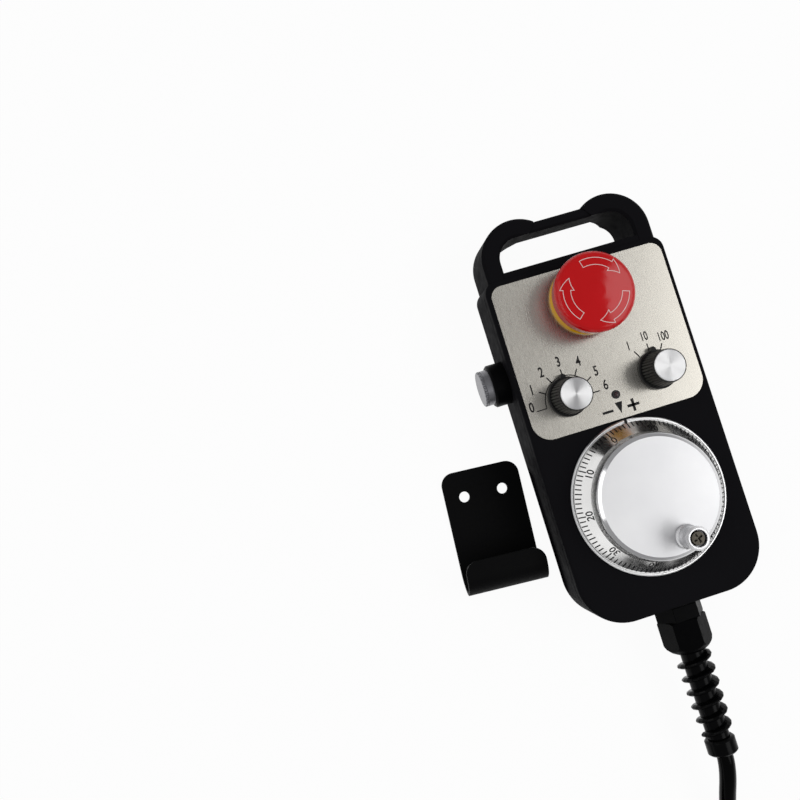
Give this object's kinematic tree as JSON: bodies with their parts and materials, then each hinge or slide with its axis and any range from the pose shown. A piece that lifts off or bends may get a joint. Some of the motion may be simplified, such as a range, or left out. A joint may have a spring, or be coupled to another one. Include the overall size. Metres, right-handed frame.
{
  "type": "pulse generator handwheel",
  "caption": "Hand-held pulse generator: loop-handled case with graduated handwheel, selector knobs, emergency stop, enabling button and glanded cable, with a hook bracket.",
  "frame": {"origin": "on the case's back face, under the handwheel's axis", "axes": "+Y runs along the case towards the loop handle, +Z out of the front face along the handwheel's axis, +X to the right seen from the front"},
  "size_m": [0.1707, 0.4355, 0.0685],
  "materials": {
    "case_black": "fine matte texture",
    "gasket_rubber": "matte",
    "screw_steel": "zinc plated",
    "plate_steel": "brushed lengthwise",
    "bright_chrome": "polished",
    "satin_aluminium": "satin, turned",
    "turned_aluminium": "fine turned, anodised",
    "shaft_steel": "ground",
    "spring_steel": "bright",
    "code_metal": "etched",
    "knob_black": "satin",
    "inner_black": "satin",
    "stop_red": "gloss",
    "collar_yellow": "gloss",
    "button_grey": "satin",
    "lamp_metal": "bright",
    "lamp_red": "clear gloss, unlit",
    "switch_phenolic": "matte",
    "contact_ivory": "matte",
    "board_green": "solder mask",
    "terminal_block": "satin",
    "gland_nylon": "satin nylon",
    "relief_rubber": "satin",
    "cable_pvc": "soft gloss sheath",
    "tie_nylon": "satin",
    "hood_plastic": "satin",
    "connector_tin": "tin plated",
    "bracket_black": "flat powder coat"
  },
  "bodies": {
    "case": {"front_shell": "case_black", "rear_shell": "case_black", "shell_gasket": "gasket_rubber", "case_screws": "screw_steel", "panel_plate": "plate_steel", "bezel_ring": "bright_chrome", "bezel_screws": "screw_steel", "encoder_housing": "inner_black", "encoder_bearings": "shaft_steel", "encoder_board": "board_green", "encoder_terminals": "terminal_block", "axis_switch": "switch_phenolic", "axis_nut": "shaft_steel", "multiplier_switch": "switch_phenolic", "multiplier_nut": "shaft_steel", "stop_barrel": "inner_black", "stop_collar": "collar_yellow", "stop_nut": "inner_black", "stop_contacts": "contact_ivory", "stop_spring": "spring_steel", "lamp_rim": "lamp_metal", "lamp_lens": "lamp_red", "enable_collar": "inner_black", "enable_nut": "inner_black", "enable_spring": "spring_steel", "enable_contacts": "contact_ivory", "gland_body": "gland_nylon", "gland_washer": "gasket_rubber", "gland_locknut": "gland_nylon", "gland_nut": "gland_nylon", "gland_grommet": "gasket_rubber", "relief_core": "relief_rubber", "relief_spiral": "relief_rubber", "relief_cap": "relief_rubber", "wiring_board": "board_green", "wiring_terminals": "terminal_block", "cable_lead": "cable_pvc", "cable_coil": "cable_pvc", "cable_tail": "cable_pvc", "cable_tie": "tie_nylon", "connector_hood": "hood_plastic", "connector_shell": "connector_tin", "connector_screws": "screw_steel"},
    "handwheel": {"wheel_shaft": "shaft_steel", "code_disc": "code_metal", "scale_ring": "bright_chrome", "wheel_disc": "satin_aluminium", "crank_screw": "screw_steel"},
    "crank": {"crank_grip": "satin_aluminium"},
    "axis_selector": {"axis_knob": "knob_black", "axis_knob_top": "turned_aluminium", "axis_shaft": "shaft_steel"},
    "multiplier_selector": {"multiplier_knob": "knob_black", "multiplier_knob_top": "turned_aluminium", "multiplier_shaft": "shaft_steel"},
    "stop_plunger": {"stop_stem": "inner_black"},
    "stop_head": {"stop_cap": "stop_red"},
    "enable_plunger": {"enable_cap": "button_grey"},
    "bracket": {"hanger_bracket": "bracket_black"}
  },
  "joints": [
    {"name": "wheel_turn", "type": "hinge", "parent": "case", "child": "handwheel", "pos_m": [0, 0, 0.036], "axis": [0, 0, 1], "continuous": true},
    {"name": "crank_spin", "type": "hinge", "parent": "handwheel", "child": "crank", "pos_m": [0.00634, -0.02211, 0.054], "axis": [0, 0, 1], "continuous": true},
    {"name": "axis_select", "type": "hinge", "parent": "case", "child": "axis_selector", "pos_m": [-0.0245, 0.0596, 0.036], "axis": [0, 0, 1], "range_deg": [-90, 90]},
    {"name": "multiplier_select", "type": "hinge", "parent": "case", "child": "multiplier_selector", "pos_m": [0.0245, 0.0596, 0.036], "axis": [0, 0, 1], "range_deg": [-30, 30]},
    {"name": "stop_press", "type": "slide", "parent": "case", "child": "stop_plunger", "axis": [0, 0, -1], "range_m": [0, 0.004], "stiffness_N_per_m": 900, "deforming": ["stop_spring"]},
    {"name": "stop_release", "type": "hinge", "parent": "stop_plunger", "child": "stop_head", "pos_m": [0, 0.105, 0.036], "axis": [0, 0, -1], "range_deg": [0, 30], "stiffness_Nm_per_rad": 0.05},
    {"name": "enable_press", "type": "slide", "parent": "case", "child": "enable_plunger", "axis": [1, 0, 0], "range_m": [0, 0.003], "stiffness_N_per_m": 700, "deforming": ["enable_spring"]},
    {"name": "bracket_lift", "type": "slide", "parent": "case", "child": "bracket", "axis": [-1, 0, 0], "range_m": [0, 0.1]}
  ]
}
